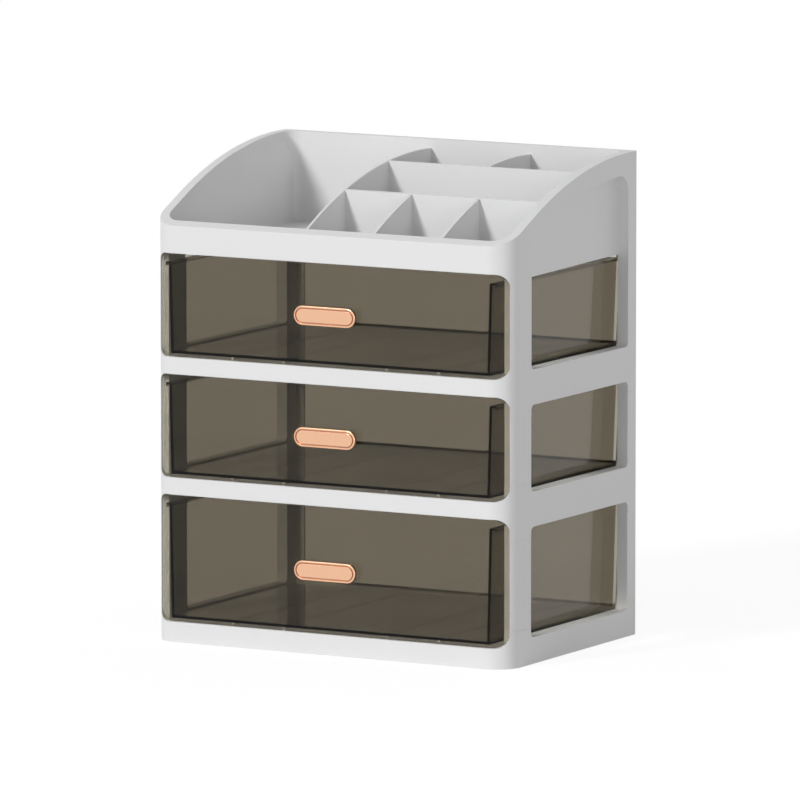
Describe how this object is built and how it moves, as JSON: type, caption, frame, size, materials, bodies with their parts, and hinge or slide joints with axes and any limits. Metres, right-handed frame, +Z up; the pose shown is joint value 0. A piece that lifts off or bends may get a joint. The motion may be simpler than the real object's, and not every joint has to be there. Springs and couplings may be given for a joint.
{
  "type": "desktop drawer organizer",
  "caption": "White stacked desktop organizer with see-through smoked drawers, pill handles, side windows and a divided open tray on top.",
  "frame": {"origin": "centre of the footprint, handles included, on the surface that the base rests on", "axes": "+X to the right as seen from the front, +Y from the drawer fronts to the open back, +Z up"},
  "size_m": [0.235, 0.1626, 0.2835],
  "materials": {
    "white_plastic": "satin moulded",
    "smoked_plastic": "clear tinted, polished",
    "rose_gold": "satin rose gold",
    "steel": "zinc plated"
  },
  "bodies": {
    "shell": {"base": "white_plastic", "lower_shelf": "white_plastic", "upper_shelf": "white_plastic", "top_tray": "white_plastic", "low_post_front_left": "white_plastic", "low_post_front_right": "white_plastic", "low_post_rear_left": "white_plastic", "low_post_rear_right": "white_plastic", "mid_post_front_left": "white_plastic", "mid_post_front_right": "white_plastic", "mid_post_rear_left": "white_plastic", "mid_post_rear_right": "white_plastic"},
    "bottom_drawer_set": {"bottom_drawer": "smoked_plastic", "bottom_handle": "rose_gold", "bottom_handle_screw": "steel"},
    "middle_drawer_set": {"middle_drawer": "smoked_plastic", "middle_handle": "rose_gold", "middle_handle_screw": "steel"},
    "top_drawer_set": {"top_drawer": "smoked_plastic", "top_handle": "rose_gold", "top_handle_screw": "steel"}
  },
  "joints": [
    {"name": "bottom_drawer_slide", "type": "slide", "parent": "shell", "child": "bottom_drawer_set", "axis": [0, -1, 0], "range_m": [0, 0.125]},
    {"name": "middle_drawer_slide", "type": "slide", "parent": "shell", "child": "middle_drawer_set", "axis": [0, -1, 0], "range_m": [0, 0.125]},
    {"name": "top_drawer_slide", "type": "slide", "parent": "shell", "child": "top_drawer_set", "axis": [0, -1, 0], "range_m": [0, 0.125]}
  ]
}
